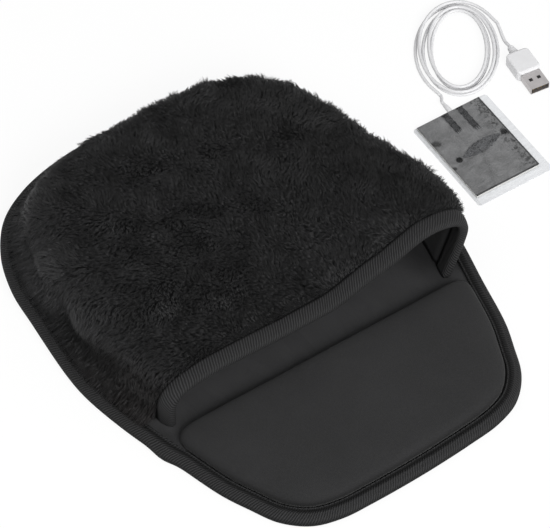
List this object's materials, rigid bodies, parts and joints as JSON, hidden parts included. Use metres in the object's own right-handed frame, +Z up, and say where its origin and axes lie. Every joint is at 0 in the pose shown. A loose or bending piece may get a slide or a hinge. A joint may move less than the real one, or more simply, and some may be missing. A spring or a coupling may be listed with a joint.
{
  "type": "heated plush mouse pouch with heating pad and usb lead",
  "caption": "Padded plush pouch open at the front over a mouse mat with a wrist cushion, and beside it a flat film heating pad on a coiled lead that ends in a power plug.",
  "frame": {"origin": "middle of the pouch's underside, on the desk", "axes": "+Z up, -Y towards the wrist, out of the pouch's mouth, +X to the side where the heater set lies"},
  "size_m": [0.3491, 0.296, 0.0599],
  "materials": {
    "antislip_rubber": "matt anti-slip rubber sheet",
    "base_foam": "closed-cell foam",
    "cushion_foam": "soft foam",
    "floor_fleece": "short charcoal fleece",
    "jersey": "smooth charcoal jersey",
    "tape": "ribbed woven binding tape",
    "plush": "long black plush pile",
    "wadding": "polyester wadding",
    "lining_fleece": "short dark fleece",
    "clear_sleeve": "milky clear film",
    "white_sleeve": "milky film",
    "white_felt": "white felt",
    "carbon_film": "mottled grey printed carbon film",
    "dark_foil": "dark crinkled foil",
    "dark_rivet": "blackened rivet",
    "white_pvc": "soft white plastic",
    "plug_steel": "plated steel",
    "black_plastic": "black plastic",
    "contact_gold": "gilded contact"
  },
  "bodies": {
    "pouch": {"antislip_sheet": "antislip_rubber", "base_foam": "base_foam", "floor_lining": "floor_fleece", "base_binding": "tape", "wrist_cushion_foam": "cushion_foam", "wrist_cushion_cover": "jersey", "plush_top_panel": "plush", "plush_side_band": "plush", "cover_wadding": "wadding", "cover_lining": "lining_fleece", "mouth_binding": "tape", "heater_pocket": "lining_fleece"},
    "heater_set": {"sleeve_front": "clear_sleeve", "sleeve_back": "white_sleeve", "felt_backing": "white_felt", "heating_film": "carbon_film", "bonding_patch": "dark_foil", "lead_foil_1": "dark_foil", "lead_foil_2": "dark_foil", "terminal_rivet_1": "dark_rivet", "terminal_rivet_2": "dark_rivet", "cord_gland": "white_pvc", "lead_wire_1": "white_pvc", "lead_wire_2": "white_pvc", "cord_at_pad": "white_pvc", "cord_coil": "white_pvc", "cord_at_plug": "white_pvc", "plug_grip": "white_pvc", "plug_strain_relief": "white_pvc", "plug_shell": "plug_steel", "plug_tongue": "black_plastic", "plug_contact_1": "contact_gold", "plug_contact_2": "contact_gold", "plug_contact_3": "contact_gold", "plug_contact_4": "contact_gold"}
  },
  "joints": [
    {"name": "heater_set_lift", "type": "slide", "parent": "pouch", "child": "heater_set", "axis": [0, 0, 1], "range_m": [0, 0.1]}
  ]
}
